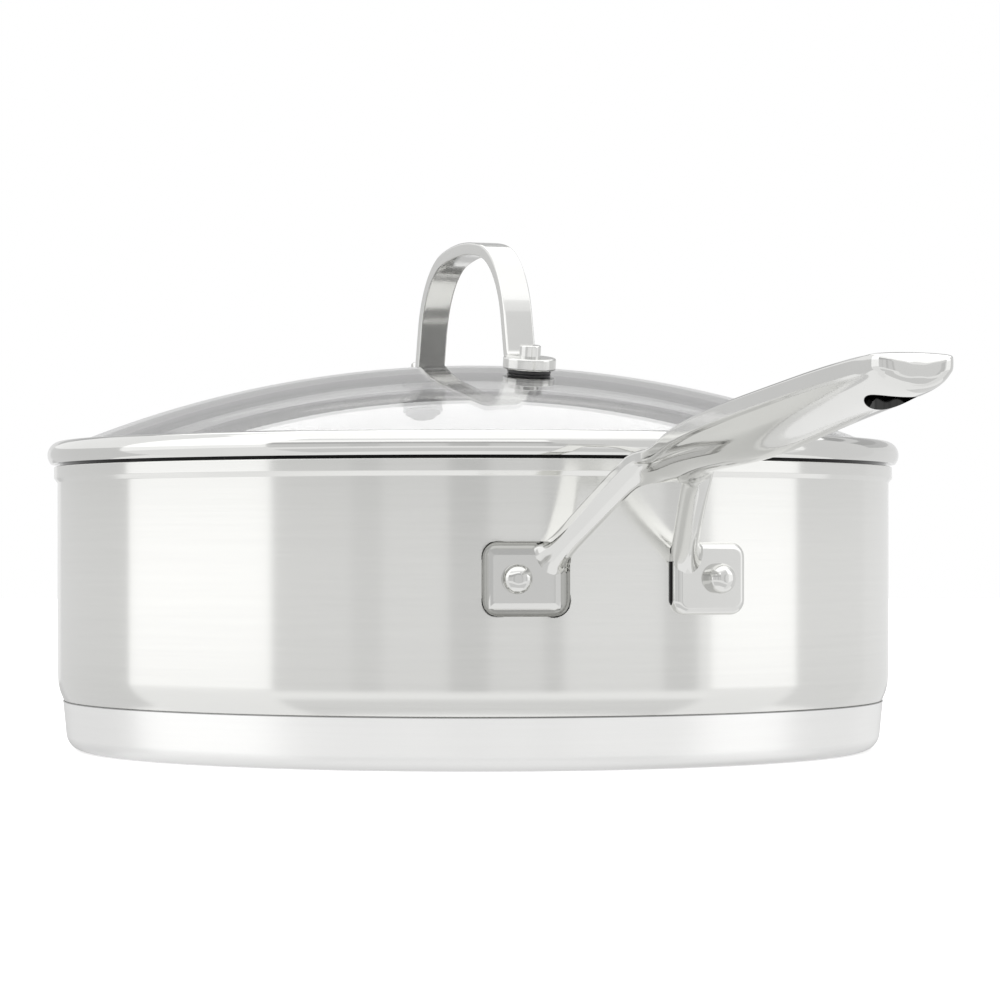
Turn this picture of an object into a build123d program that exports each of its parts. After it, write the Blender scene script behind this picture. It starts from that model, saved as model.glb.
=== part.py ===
from build123d import *
import os
from math import asin, cos, radians, sin, sqrt

# Saute pan with a glass lid, in millimetres, +Z up.
# The origin is the centre of the base's underside, and the long handle points along +X.

# How far a cutter runs past what it cuts
overrun = 2.0

# Vessel: drawn steel with a straight wall and a mouth that steps out to seat the lid
inner_radius = 120.0
wall = 1.0
floor_corner_radius = 16.0    # outer bend between the floor and the wall
mouth_z = 81.7
band_height = 4.6             # the stepped-out band, from the mouth down
band_step = 1.0
band_slope = 1.3              # height of the sloped shoulder under the band
ledge_depth = 3.7             # from the mouth down to the ledge that carries the lid
mouth_round = 0.35

# Base: a steel cup round an aluminium core
cap_sheet = 0.8
core_thickness = 5.0
seam_z = 14.3                 # top edge of the cup
cap_lip = 0.3                 # thickness of the cup's top edge
cap_lean = 1.45               # how much narrower the cup's side is at the foot
cap_corner_radius = 5.0
core_rise = 5.4               # how far the core climbs round the vessel's corner

# Lid: domed glass in a rolled steel band
glass_dome_radius = 305.0
glass_thickness = 4.0
glass_edge_gap = 3.0          # from the bead's outermost radius in to the glass edge
band_wall = 0.8
bead_radius = 3.9
bead_drop = 2.6               # from the bead's centre down to its flat underside
bead_set_in = 2.0             # from the vessel's outermost radius in to the bead's centre
bead_edge_round = 0.5
lid_gap = 0.8                 # between the mouth and the bead's underside
lip_angle = 4.2
lip_length = 4.4
lip_round = 0.3
flange_length = 3.1           # flange under the glass, inside the skirt
skirt_clearance = 0.6
skirt_round = 0.3

# Lid handle: a bent strap with two out-turned feet
strap_height = 36.1           # above the top of the glass
strap_width = 8.6
strap_thickness = 3.6
strap_round = 0.6
crown_radius = 100.0
crown_angle = 10.0
shoulder_radius = 29.0
leg_angle = 76.0              # the legs' slope from level
leg_bend_radius = 1.6
lid_foot_width = 12.3
lid_foot_thickness = 2.9

# Lid rivets, with a gasket each side of the glass and a washer under it
lid_rivet_reach = 49.5        # from the lid's axis out to each rivet
lid_rivet_diameter = 5.0
lid_head_diameter = 6.0
lid_head_height = 3.4
lid_head_round = 0.5
gasket_diameter = 12.2
gasket_thickness = 1.5
washer_diameter = 11.0
washer_thickness = 1.0
tail_diameter = 7.6           # the closed end of the rivet under the lid
tail_height = 1.5
tail_round = 0.7
glass_hole_clearance = 0.3
rivet_clearance = 0.05

# Long handle: feet and rivets on the wall
foot_angle = 12.2             # each foot's place round the pan, from the handle's axis
foot_width = 23.3
foot_height = 19.2
foot_corner_radius = 4.0
foot_thickness = 2.3
foot_round = 1.8
foot_drop = 31.4              # from the mouth down to the feet's middle
rivet_set_out = 2.1           # from the foot's middle, away from the handle's axis
rivet_diameter = 5.0
rivet_head_diameter = 8.0
rivet_head_height = 4.3
rivet_head_round = 1.8
rivet_inner_diameter = 11.0
rivet_inner_height = 1.8
rivet_inner_round = 1.2

# Long handle: grip
fork_length = 31.5            # from the wall out to where the arms join
fork_round = 6.2
grip_length = 144.2           # from there to the tip
grip_half_width = 10.0
grip_depth = 14.2
grip_side = 4.0
grip_edge_round = 0.7
grip_crease = 0.5
grip_crown = 0.5
grip_end_round = 1.5          # along the end's top and bottom edges
grip_tip_round = 2.3          # down the end's sides
hub_rise = 25.7               # from the feet's middle up to the grip's top, where the arms join
tip_rise = 23.9               # from there up to the tip
hole_set_in = 10.3            # from the tip
hole_width = 12.0
hole_length = 13.5

# Long handle: arms, given along the middle of their top faces
arm_root_sink = 2.0           # how far inside the wall's outer face the arms start
arm_root_set_in = 8.1         # from the foot's middle, towards the handle's axis
arm_root_rise = 7.9           # from the foot's middle
arm_rise = 28.4               # from root to end
arm_run_on = 19.5             # how far the arms run on inside the grip
arm_end_spread = 5.0          # from the handle's axis
arm_half_width = 3.6
arm_depth = 6.4
arm_side = 2.6

# Grip stations: place along the grip, then the top's rise, the depth, the side and the half width
grip_station_shares = (
    (0.000, 0.00, 0.25, 0.35, 0.80),
    (0.125, 0.37, 0.62, 0.90, 0.98),
    (0.250, 0.55, 0.83, 1.00, 1.00),
    (0.375, 0.65, 0.94, 1.00, 1.00),
    (0.500, 0.74, 0.97, 1.00, 1.00),
    (0.625, 0.81, 0.88, 0.95, 1.00),
    (0.750, 0.89, 0.81, 0.93, 1.00),
    (0.875, 0.95, 0.75, 0.92, 1.00),
    (1.000, 1.00, 0.62, 0.88, 0.98),
)

# Arm stations: place along the arm, then the rise, the narrowing and the size
arm_station_shares = (
    (0.00, 0.00, 0.00, 0.95),
    (0.25, 0.31, 0.28, 0.97),
    (0.50, 0.61, 0.55, 1.00),
    (0.75, 0.87, 0.79, 1.00),
    (1.00, 1.00, 1.00, 0.95),
)

# Worked out from the values above
floor_z = cap_sheet + core_thickness
outer_radius = inner_radius + wall
band_radius = outer_radius + band_step
seat_radius = band_radius - wall
floor_flat_radius = outer_radius - floor_corner_radius
corner_centre_z = floor_z + floor_corner_radius
shoulder_z = mouth_z - band_height
ledge_z = mouth_z - ledge_depth
bead_centre_radius = band_radius - bead_set_in
bead_base_z = mouth_z + lid_gap
bead_centre_z = bead_base_z + bead_drop
skirt_radius = seat_radius - skirt_clearance
glass_edge_round = glass_thickness / 2
glass_inner_radius = glass_dome_radius - glass_thickness
glass_mid_radius = glass_dome_radius - glass_edge_round
edge_centre_radius = bead_centre_radius + bead_radius - glass_edge_gap - glass_edge_round
edge_tilt = asin(edge_centre_radius / glass_mid_radius)
dome_centre_z = bead_centre_z - glass_mid_radius * cos(edge_tilt)
strap_top_z = dome_centre_z + glass_dome_radius + strap_height
rivet_tilt = asin(lid_rivet_reach / glass_dome_radius)
lid_foot_top = gasket_thickness + lid_foot_thickness
lid_stack_low = -glass_thickness - gasket_thickness - washer_thickness
foot_z = mouth_z - foot_drop
fork_reach = outer_radius + fork_length
grip_reach = fork_reach + grip_length
hub_top_z = foot_z + hub_rise
tip_top_z = hub_top_z + tip_rise
hole_reach = grip_reach - hole_set_in
arm_root_reach = outer_radius - arm_root_sink
arm_root_spread = outer_radius * sin(radians(foot_angle)) - arm_root_set_in
arm_root_z = foot_z + arm_root_rise
arm_end_reach = fork_reach + arm_run_on
arm_end_z = arm_root_z + arm_rise
from_below = (Align.CENTER, Align.CENTER, Align.MIN)


def outline_face(*edges):
    """Closed upright face from edges drawn with X as radius and Y as height."""
    return make_face([Plane.XZ * edge for edge in edges])


def turned(face):
    """Solid of revolution about the pan's axis."""
    return revolve(face, axis=Axis.Z)


def corner_at(face, radius, z):
    """The upright face's corner nearest to a place."""
    return face.vertices().sort_by_distance(Vector(radius, 0, z))[0]


def arc_point(centre, radius, angle):
    """Point on a circle, its angle counted in radians from straight up towards +X."""
    return centre[0] + radius * sin(angle), centre[1] + radius * cos(angle)


def arc_about(centre, radius, start, end):
    """Arc between two such angles."""
    middle = (start + end) / 2
    return ThreePointArc(*(arc_point(centre, radius, angle) for angle in (start, middle, end)))


def meeting_point(start, start_slope, other, other_slope):
    """Where two lines cross, each given by a point and its slope in radians."""
    ux, uy = cos(start_slope), sin(start_slope)
    vx, vy = cos(other_slope), sin(other_slope)
    dx, dy = other[0] - start[0], other[1] - start[1]
    along = (dx * vy - dy * vx) / (ux * vy - uy * vx)
    return start[0] + along * ux, start[1] + along * uy


def corner_arc(radius, to_wall=True):
    """Round between the vessel's floor and wall, drawn from floor to wall or back."""
    sideways, down = radians(90), radians(180)
    ends = (down, sideways) if to_wall else (sideways, down)
    return arc_about((floor_flat_radius, corner_centre_z), radius, *ends)


def vessel_core():
    """All that lies within the vessel's outer surface, up to its band."""
    return turned(outline_face(
        Line((0, floor_z), (floor_flat_radius, floor_z)),
        corner_arc(floor_corner_radius),
        Line((outer_radius, corner_centre_z), (outer_radius, shoulder_z)),
        Line((outer_radius, shoulder_z), (0, shoulder_z)),
        Line((0, shoulder_z), (0, floor_z)),
    ))


def pan_body():
    band_z = shoulder_z + band_slope
    inside_z = floor_z + wall
    face = outline_face(
        Line((0, floor_z), (floor_flat_radius, floor_z)),
        corner_arc(floor_corner_radius),
        Line((outer_radius, corner_centre_z), (outer_radius, shoulder_z)),
        Line((outer_radius, shoulder_z), (band_radius, band_z)),
        Line((band_radius, band_z), (band_radius, mouth_z)),
        Line((band_radius, mouth_z), (seat_radius, mouth_z)),
        Line((seat_radius, mouth_z), (seat_radius, ledge_z)),
        Line((seat_radius, ledge_z), (inner_radius, ledge_z)),
        Line((inner_radius, ledge_z), (inner_radius, corner_centre_z)),
        corner_arc(floor_corner_radius - wall, to_wall=False),
        Line((floor_flat_radius, inside_z), (0, inside_z)),
        Line((0, inside_z), (0, floor_z)),
    )
    mouth = [corner_at(face, band_radius, mouth_z), corner_at(face, seat_radius, mouth_z)]
    vessel = turned(fillet(mouth, mouth_round))
    for side in (-1, 1):
        vessel -= wall_rivet_bore(side)
    return vessel


def cup_solid(inset, top_z):
    """The cup's outer form, or its inside when inset by the sheet."""
    corner_drop = corner_centre_z - seam_z
    mouth_radius = floor_flat_radius + sqrt(floor_corner_radius**2 - corner_drop**2) + cap_lip
    lean = cap_lean / seam_z
    low_radius = mouth_radius - lean * (seam_z - inset) - inset
    high_radius = mouth_radius - lean * (seam_z - top_z) - inset
    face = outline_face(
        Line((0, inset), (low_radius, inset)),
        Line((low_radius, inset), (high_radius, top_z)),
        Line((high_radius, top_z), (0, top_z)),
        Line((0, top_z), (0, inset)),
    )
    return turned(fillet(corner_at(face, low_radius, inset), cap_corner_radius - inset))


def base_cap():
    return cup_solid(0, seam_z) - cup_solid(cap_sheet, seam_z + overrun) - vessel_core()


def base_core():
    return cup_solid(cap_sheet, floor_z + core_rise) - vessel_core()


def glass_blank():
    """The dome before its holes, with a fully rounded edge."""
    centre = (0, dome_centre_z)
    edge_centre = (edge_centre_radius, bead_centre_z)
    top = arc_point(centre, glass_dome_radius, 0)
    bottom = arc_point(centre, glass_inner_radius, 0)
    return turned(outline_face(
        arc_about(centre, glass_dome_radius, 0, edge_tilt),
        arc_about(edge_centre, glass_edge_round, edge_tilt, edge_tilt + radians(180)),
        arc_about(centre, glass_inner_radius, edge_tilt, 0),
        Line(bottom, top),
    ))


def lid_glass():
    glass = glass_blank()
    hole_radius = lid_rivet_diameter / 2 + glass_hole_clearance
    for side in (-1, 1):
        glass -= stack_disc(side, hole_radius, -glass_thickness - overrun, overrun)
    return glass


def lid_rim():
    """Rolled band: a bead round the glass edge, a lip over it, a flange under it and a skirt."""
    centre = (bead_centre_radius, bead_centre_z)
    hollow_radius = bead_radius - band_wall
    flange_z = bead_base_z + band_wall
    flange_radius = skirt_radius - band_wall - flange_length
    inner_skirt = skirt_radius - band_wall
    slope = radians(lip_angle)
    low_angle = radians(180) - asin(sqrt(bead_radius**2 - bead_drop**2) / bead_radius)
    flange_drop = bead_drop - band_wall
    low_hollow_angle = radians(180) - asin(sqrt(hollow_radius**2 - flange_drop**2) / hollow_radius)
    bead_low = arc_point(centre, bead_radius, low_angle)
    hollow_low = arc_point(centre, hollow_radius, low_hollow_angle)
    lip_start = arc_point(centre, bead_radius, slope)
    lip_under = arc_point(centre, hollow_radius, slope)
    run, rise = lip_length * cos(slope), lip_length * sin(slope)
    lip_end = (lip_start[0] - run, lip_start[1] + rise)
    lip_end_under = (lip_under[0] - run, lip_under[1] + rise)
    face = outline_face(
        Line((skirt_radius, ledge_z), (skirt_radius, bead_base_z)),
        Line((skirt_radius, bead_base_z), bead_low),
        arc_about(centre, bead_radius, low_angle, slope),
        Line(lip_start, lip_end),
        Line(lip_end, lip_end_under),
        Line(lip_end_under, lip_under),
        arc_about(centre, hollow_radius, slope, low_hollow_angle),
        Line(hollow_low, (flange_radius, flange_z)),
        Line((flange_radius, flange_z), (flange_radius, bead_base_z)),
        Line((flange_radius, bead_base_z), (inner_skirt, bead_base_z)),
        Line((inner_skirt, bead_base_z), (inner_skirt, ledge_z)),
        Line((inner_skirt, ledge_z), (skirt_radius, ledge_z)),
    )
    face = fillet(corner_at(face, *bead_low), bead_edge_round)
    face = fillet(corner_at(face, *lip_end), lip_round)
    hem = [corner_at(face, skirt_radius, ledge_z), corner_at(face, inner_skirt, ledge_z)]
    return turned(fillet(hem, skirt_round)) - glass_blank()


def stack_plane(side):
    """Frame of one lid rivet: its origin on the glass and its Z square to the dome."""
    origin = (side * lid_rivet_reach, 0, dome_centre_z + glass_dome_radius * cos(rivet_tilt))
    outwards = (side * sin(rivet_tilt), 0, cos(rivet_tilt))
    return Plane(origin, x_dir=(side * cos(rivet_tilt), 0, -sin(rivet_tilt)), z_dir=outwards)


def disc(radius, low, high):
    """Upright disc between two heights."""
    return Pos(0, 0, low) * Cylinder(radius, high - low, align=from_below)


def stack_disc(side, radius, low, high):
    """Disc on one lid rivet's axis, its heights counted from the glass."""
    return stack_plane(side) * disc(radius, low, high)


def lid_handle():
    crown, leg, tilt = radians(crown_angle), radians(leg_angle), rivet_tilt
    crown_centre = (0, strap_top_z - crown_radius)
    shoulder_centre = arc_point(crown_centre, crown_radius - shoulder_radius, crown)
    foot_centre = (lid_rivet_reach, stack_plane(1).origin.Z)
    foot_top = arc_point(foot_centre, lid_foot_top, tilt)
    foot_low = arc_point(foot_centre, gasket_thickness, tilt)
    inner_shoulder = shoulder_radius - strap_thickness
    leg_top = arc_point(shoulder_centre, shoulder_radius, leg)
    leg_top_inside = arc_point(shoulder_centre, inner_shoulder, leg)
    bend = meeting_point(leg_top, -leg, foot_top, -tilt)
    bend_inside = meeting_point(leg_top_inside, -leg, foot_low, -tilt)
    face = outline_face(
        arc_about(crown_centre, crown_radius, 0, crown),
        arc_about(shoulder_centre, shoulder_radius, crown, leg),
        Line(leg_top, bend),
        Line(bend, foot_top),
        Line(foot_top, foot_low),
        Line(foot_low, bend_inside),
        Line(bend_inside, leg_top_inside),
        arc_about(shoulder_centre, inner_shoulder, leg, crown),
        arc_about(crown_centre, crown_radius - strap_thickness, crown, 0),
        Line((0, strap_top_z - strap_thickness), (0, strap_top_z)),
    )
    face = fillet(corner_at(face, *bend), leg_bend_radius)
    face = fillet(corner_at(face, *bend_inside), leg_bend_radius + strap_thickness)
    strap = extrude(face + mirror(face, about=Plane.YZ), amount=strap_width / 2, both=True)
    sides = strap.edges().group_by(Axis.Y)
    strap = fillet(sides[0] + sides[-1], strap_round)
    for side in (-1, 1):
        tab = disc(lid_foot_width / 2, gasket_thickness, lid_foot_top)
        strap += stack_plane(side) * fillet(tab.edges().filter_by(GeomType.CIRCLE), strap_round)
    for side in (-1, 1):
        strap -= stack_disc(side, lid_rivet_diameter / 2 + rivet_clearance, 0, lid_foot_top + overrun)
    return strap


def lid_rivet(side):
    shank = disc(lid_rivet_diameter / 2, lid_stack_low, lid_foot_top)
    head = disc(lid_head_diameter / 2, lid_foot_top, lid_foot_top + lid_head_height)
    head = fillet(head.edges().group_by(Axis.Z)[-1], lid_head_round)
    tail = disc(tail_diameter / 2, lid_stack_low - tail_height, lid_stack_low)
    tail = fillet(tail.edges().group_by(Axis.Z)[0], tail_round)
    return stack_plane(side) * (shank + head + tail)


def lid_gasket(side, low, high):
    """Pad that follows the glass where it meets it."""
    bore = stack_disc(side, lid_rivet_diameter / 2 + rivet_clearance, low - overrun, high + overrun)
    return stack_disc(side, gasket_diameter / 2, low, high) - glass_blank() - bore


def lid_washer(side):
    high = lid_stack_low + washer_thickness
    bore = lid_rivet_diameter / 2 + rivet_clearance
    ring = disc(washer_diameter / 2, lid_stack_low, high) - disc(bore, lid_stack_low - overrun, high + overrun)
    return stack_plane(side) * ring


def foot_plane(side):
    """Frame of one handle foot: its origin on the wall, X level and Z outwards."""
    angle = radians(side * foot_angle)
    origin = (outer_radius * cos(angle), outer_radius * sin(angle), foot_z)
    return Plane(origin, x_dir=(-sin(angle), cos(angle), 0), z_dir=(cos(angle), sin(angle), 0))


def rivet_place(side):
    """Frame of one handle rivet: its origin on the foot's back."""
    return foot_plane(side) * Pos(side * rivet_set_out, 0, 0)


def wall_rivet_bore(side):
    """Cutter for one rivet's hole through the wall and the foot."""
    return rivet_place(side) * disc(rivet_diameter / 2 + rivet_clearance, -wall - overrun, foot_thickness + overrun)


def handle_rivet(side):
    shank = disc(rivet_diameter / 2, -wall - rivet_inner_height / 2, foot_thickness)
    head = disc(rivet_head_diameter / 2, foot_thickness, foot_thickness + rivet_head_height)
    head = fillet(head.edges().group_by(Axis.Z)[-1], rivet_head_round)
    tail = disc(rivet_inner_diameter / 2, -wall - rivet_inner_height, 0)
    tail = fillet(tail.edges().group_by(Axis.Z)[0], rivet_inner_round)
    inside = disc(inner_radius, floor_z, mouth_z)
    return rivet_place(side) * (shank + head) + (rivet_place(side) * tail & inside)


def bellied_section(plane, half_width, side, depth):
    """Flat-topped, round-bellied section that hangs from the plane's origin."""
    across = half_width - grip_edge_round
    corner_centre = (across, -grip_edge_round)
    mirrored_centre = (-across, -grip_edge_round)
    belly_half = half_width - grip_crease
    belly_y = -side - grip_crease
    return plane * make_face([
        ThreePointArc((-across, 0), (0, grip_crown), (across, 0)),
        arc_about(corner_centre, grip_edge_round, 0, radians(90)),
        Line((half_width, -grip_edge_round), (half_width, -side)),
        Line((half_width, -side), (belly_half, belly_y)),
        ThreePointArc((belly_half, belly_y), (0, -depth), (-belly_half, belly_y)),
        Line((-belly_half, belly_y), (-half_width, -side)),
        Line((-half_width, -side), (-half_width, -grip_edge_round)),
        arc_about(mirrored_centre, grip_edge_round, radians(-90), 0),
    ])


def round_cutter(plane, radius, half_length):
    """What a square edge loses when rounded: its corner lies towards the plane's +X and +Y."""
    size = radius + overrun
    face = Pos(size / 2, size / 2) * Rectangle(size, size) - Circle(radius)
    return extrude(plane * face, amount=half_length, both=True)


def handle_grip():
    sections = []
    for along, rise, depth, side, breadth in grip_station_shares:
        reach = fork_reach + along * (grip_reach - fork_reach)
        top_z = hub_top_z + rise * (tip_top_z - hub_top_z)
        plane = Plane((reach, 0, top_z), x_dir=(0, 1, 0), z_dir=(1, 0, 0))
        sections.append(bellied_section(plane, breadth * grip_half_width, side * grip_side, depth * grip_depth))
    grip = loft(sections)
    tip_half_width = grip_station_shares[-1][-1] * grip_half_width
    tip_low_z = tip_top_z - grip_station_shares[-1][2] * grip_depth
    flat_x = grip_reach - grip_end_round
    upper = Plane((flat_x, 0, tip_top_z + grip_crown - grip_end_round), x_dir=(1, 0, 0), z_dir=(0, -1, 0))
    lower = Plane((flat_x, 0, tip_low_z + grip_end_round), x_dir=(1, 0, 0), z_dir=(0, 1, 0))
    grip -= round_cutter(upper, grip_end_round, grip_half_width + overrun)
    grip -= round_cutter(lower, grip_end_round, grip_half_width + overrun)
    for side in (-1, 1):
        place = (grip_reach - grip_tip_round, side * (tip_half_width - grip_tip_round), tip_top_z)
        plane = Plane(place, x_dir=(1, 0, 0), z_dir=(0, 0, side))
        grip -= round_cutter(plane, grip_tip_round, grip_depth)
    return grip


def handle_arm(side):
    points = []
    for along, rise, narrowing, size in arm_station_shares:
        reach = arm_root_reach + along * (arm_end_reach - arm_root_reach)
        spread = arm_root_spread + narrowing * (arm_end_spread - arm_root_spread)
        height = arm_root_z + rise * (arm_end_z - arm_root_z)
        points.append(Vector(reach, side * spread, height))
    sections = []
    last = len(points) - 1
    for index, point in enumerate(points):
        way = points[min(index + 1, last)] - points[max(index - 1, 0)]
        size = arm_station_shares[index][-1]
        plane = Plane(point, x_dir=(-way.Y, way.X, 0), z_dir=way)
        sections.append(bellied_section(plane, size * arm_half_width, size * arm_side, size * arm_depth))
    return loft(sections)


def handle_foot(side):
    plate = extrude(RectangleRounded(foot_width, foot_height, foot_corner_radius), amount=foot_thickness)
    return foot_plane(side) * fillet(plate.edges().group_by(Axis.Z)[-1], foot_round)


def long_handle():
    handle = handle_grip()
    for side in (-1, 1):
        handle += handle_arm(side)
    handle -= Pos(fork_reach - fork_round / 2, 0, 0) * disc(fork_round, 0, tip_top_z)
    handle -= vessel_core()
    for side in (-1, 1):
        handle += handle_foot(side)
    for side in (-1, 1):
        handle -= wall_rivet_bore(side)
    hole = extrude(Ellipse(hole_length / 2, hole_width / 2), amount=tip_top_z + overrun)
    return handle - Pos(hole_reach, 0, 0) * hole


gasket_levels = {
    "upper": (-glass_thickness / 2, gasket_thickness),
    "lower": (-glass_thickness - gasket_thickness, -glass_thickness / 2),
}

nodes = {
    "pan_body": pan_body(),
    "base_core": base_core(),
    "base_cap": base_cap(),
    "long_handle": long_handle(),
    "lid_glass": lid_glass(),
    "lid_rim": lid_rim(),
    "lid_handle": lid_handle(),
}
for name, side in (("left", -1), ("right", 1)):
    nodes["handle_rivet_" + name] = handle_rivet(side)
for name, side in (("front", 1), ("back", -1)):
    nodes["lid_rivet_" + name] = lid_rivet(side)
    nodes["lid_washer_" + name] = lid_washer(side)
    for level, (low, high) in gasket_levels.items():
        nodes["lid_" + level + "_gasket_" + name] = lid_gasket(side, low, high)

os.makedirs("parts", exist_ok=True)
for name, solid in nodes.items():
    export_step(solid, "parts/" + name + ".step")
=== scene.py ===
from functools import partialmethod
from math import asin, cos, pi, radians, sin, sqrt, tan

import bpy
from bpy.props import FloatProperty, FloatVectorProperty, IntProperty, PointerProperty
from mathutils import Matrix, Vector


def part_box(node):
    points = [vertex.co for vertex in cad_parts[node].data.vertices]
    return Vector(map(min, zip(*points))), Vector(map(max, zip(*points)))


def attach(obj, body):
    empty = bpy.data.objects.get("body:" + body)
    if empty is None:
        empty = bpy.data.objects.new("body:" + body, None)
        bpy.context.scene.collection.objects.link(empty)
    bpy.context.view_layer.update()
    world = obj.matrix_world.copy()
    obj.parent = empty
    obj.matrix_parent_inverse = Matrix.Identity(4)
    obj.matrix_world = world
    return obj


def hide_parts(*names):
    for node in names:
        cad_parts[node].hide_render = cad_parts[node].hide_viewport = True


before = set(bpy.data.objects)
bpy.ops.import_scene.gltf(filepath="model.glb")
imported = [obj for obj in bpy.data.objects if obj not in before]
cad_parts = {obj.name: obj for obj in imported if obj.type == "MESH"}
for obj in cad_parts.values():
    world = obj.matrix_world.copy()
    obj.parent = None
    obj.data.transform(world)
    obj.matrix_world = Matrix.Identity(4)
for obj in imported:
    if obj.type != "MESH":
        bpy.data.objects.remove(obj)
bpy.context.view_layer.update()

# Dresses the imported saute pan: the polished and brushed steel, the glass lid and the studio.
# Every size is in metres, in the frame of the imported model: +Z up, the long handle along +X.

bl_info = {
    "name": "Saute Pan with Lid",
    "version": (1, 0, 0),
    "blender": (4, 5, 0),
    "location": "View3D > Sidebar > Pan",
    "description": "Models and finishes a steel saute pan with a glass lid",
    "category": "Add Mesh",
}

vessel_low, vessel_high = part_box("pan_body")
cap_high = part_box("base_cap")[1]
rim_low, rim_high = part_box("lid_rim")
glass_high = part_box("lid_glass")[1]
handle_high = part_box("long_handle")[1]
strap_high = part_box("lid_handle")[1]


def length(name, description, default):
    """A size that the panel shows."""
    return FloatProperty(name=name, description=description, default=default, min=0, unit="LENGTH",
                         precision=5)


def in_degrees(name, description, degrees):
    """An angle that the panel shows, given in degrees."""
    return FloatProperty(name=name, description=description, default=radians(degrees), subtype="ANGLE")


def amount(name, description, default):
    """A plain number that the panel shows."""
    return FloatProperty(name=name, description=description, default=default)


def share(name, description, default):
    """A setting between nothing and all."""
    return FloatProperty(name=name, description=description, default=default, min=0, max=1,
                         subtype="FACTOR")


def colour(name, description, default):
    """A colour that the panel shows."""
    return FloatVectorProperty(name=name, description=description, default=default, size=3, min=0, max=1,
                               subtype="COLOR")


class PanSizes(bpy.types.PropertyGroup):
    """Sizes of the vessel and its base."""

    turns: IntProperty(name="Steps", description="Steps round each turned piece", default=256, min=32)
    band_radius: length("Band radius", "Outside radius of the stepped-out band", vessel_high.x)
    mouth: length("Mouth", "Height of the mouth", vessel_high.z)
    floor: length("Floor", "Height of the floor's underside", vessel_low.z)
    wall: length("Wall", "Thickness of the drawn steel", 0.001)
    band_step: length("Band step", "How far the band stands out from the wall", 0.001)
    band_height: length("Band height", "Height of the band, from the mouth down", 0.0046)
    band_slope: length("Band slope", "Height of the sloped shoulder under the band", 0.0013)
    ledge_depth: length("Ledge", "From the mouth down to the ledge that seats the lid", 0.0037)
    floor_corner: length("Floor corner", "Outer bend between floor and wall", 0.016)
    edge_round: length("Edge round", "Rounding of the mouth's edges", 0.00035)
    bend_round: length("Bend round", "Rounding of the small bends of the band", 0.0003)
    cap_radius: length("Cap radius", "Radius of the base cup at its top edge", cap_high.x)
    cap_height: length("Cap height", "Height of the base cup", cap_high.z)
    cap_lean: length("Cap lean", "How much narrower the cup is at the foot", 0.00145)
    cap_corner: length("Cap corner", "Rounding of the cup's lower corner", 0.005)
    cap_sheet: length("Cap sheet", "Thickness of the cup's sheet", 0.0008)
    cap_lip: length("Cap lip", "Thickness of the cup's top edge", 0.00022)
    seam_depth: length("Seam depth", "Depth of the fine groove inside the cup's top edge", 0.0022)


class LidSizes(bpy.types.PropertyGroup):
    """Sizes of the lid."""

    rim_radius: length("Rim radius", "Outside radius of the rim's bead", rim_high.x)
    rim_base: length("Skirt foot", "Height of the skirt's lower edge", rim_low.z)
    bead: length("Bead", "Radius of the rim's bead", 0.0039)
    bead_drop: length("Bead drop", "From the bead's centre down to its flat underside", 0.0026)
    bead_lift: length("Bead lift", "From the mouth up to the bead's underside", 0.0008)
    band: length("Band", "Thickness of the rim's sheet", 0.0008)
    skirt_radius: length("Skirt radius", "Outside radius of the skirt", 0.1204)
    flange: length("Flange", "Length of the flange under the glass", 0.0031)
    lip_length: length("Lip", "Length of the lip over the glass", 0.0044)
    lip_rise: length("Lip rise", "How far the lip climbs to its edge", 0.00032)
    dome_radius: length("Dome radius", "Radius of the glass dome's outer face", 0.305)
    glass: length("Glass", "Thickness of the glass", 0.004)
    glass_top: length("Glass top", "Height of the dome", glass_high.z)
    glass_radius: length("Glass radius", "Radius of the glass at its rounded edge", glass_high.x)
    rivet_reach: length("Rivet reach", "From the lid's axis out to each rivet", 0.0495)
    rivet: length("Rivet", "Diameter of the lid rivets", 0.005)
    head: length("Head", "Diameter of a lid rivet's head", 0.006)
    head_height: length("Head height", "Height of a lid rivet's head", 0.0034)
    head_round: length("Head round", "Rounding of the head's upper edge", 0.0005)
    foot: length("Foot", "Thickness of the strap's feet", 0.0034)
    foot_width: length("Foot width", "Width of the strap's feet", 0.0148)
    strap_top: length("Strap top", "Height of the strap's crown", strap_high.z)
    strap_width: length("Strap width", "Width of the strap", 0.0086)
    strap: length("Strap", "Thickness of the strap", 0.0036)
    strap_round: length("Strap round", "Rounding of the strap's edges", 0.0006)
    crown_radius: length("Crown radius", "Bend of the crown", 0.1)
    shoulder_radius: length("Shoulder radius", "Bend of the shoulders", 0.029)
    crown_angle: in_degrees("Crown angle", "Slope where the crown meets a shoulder", 10)
    leg_angle: in_degrees("Leg angle", "Slope of the legs", 76)
    bend: length("Bend", "Bend from each leg into its foot", 0.0016)
    gasket: length("Gasket", "Diameter of the gaskets", 0.0122)
    gasket_thickness: length("Gasket thickness", "Thickness of each gasket", 0.001)
    washer: length("Washer", "Diameter of the washers", 0.011)
    washer_thickness: length("Washer thickness", "Thickness of the washers", 0.001)
    tail: length("Tail", "Diameter of the closed end of a lid rivet", 0.0076)
    tail_height: length("Tail height", "Height of the closed end of a lid rivet", 0.0015)


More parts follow.
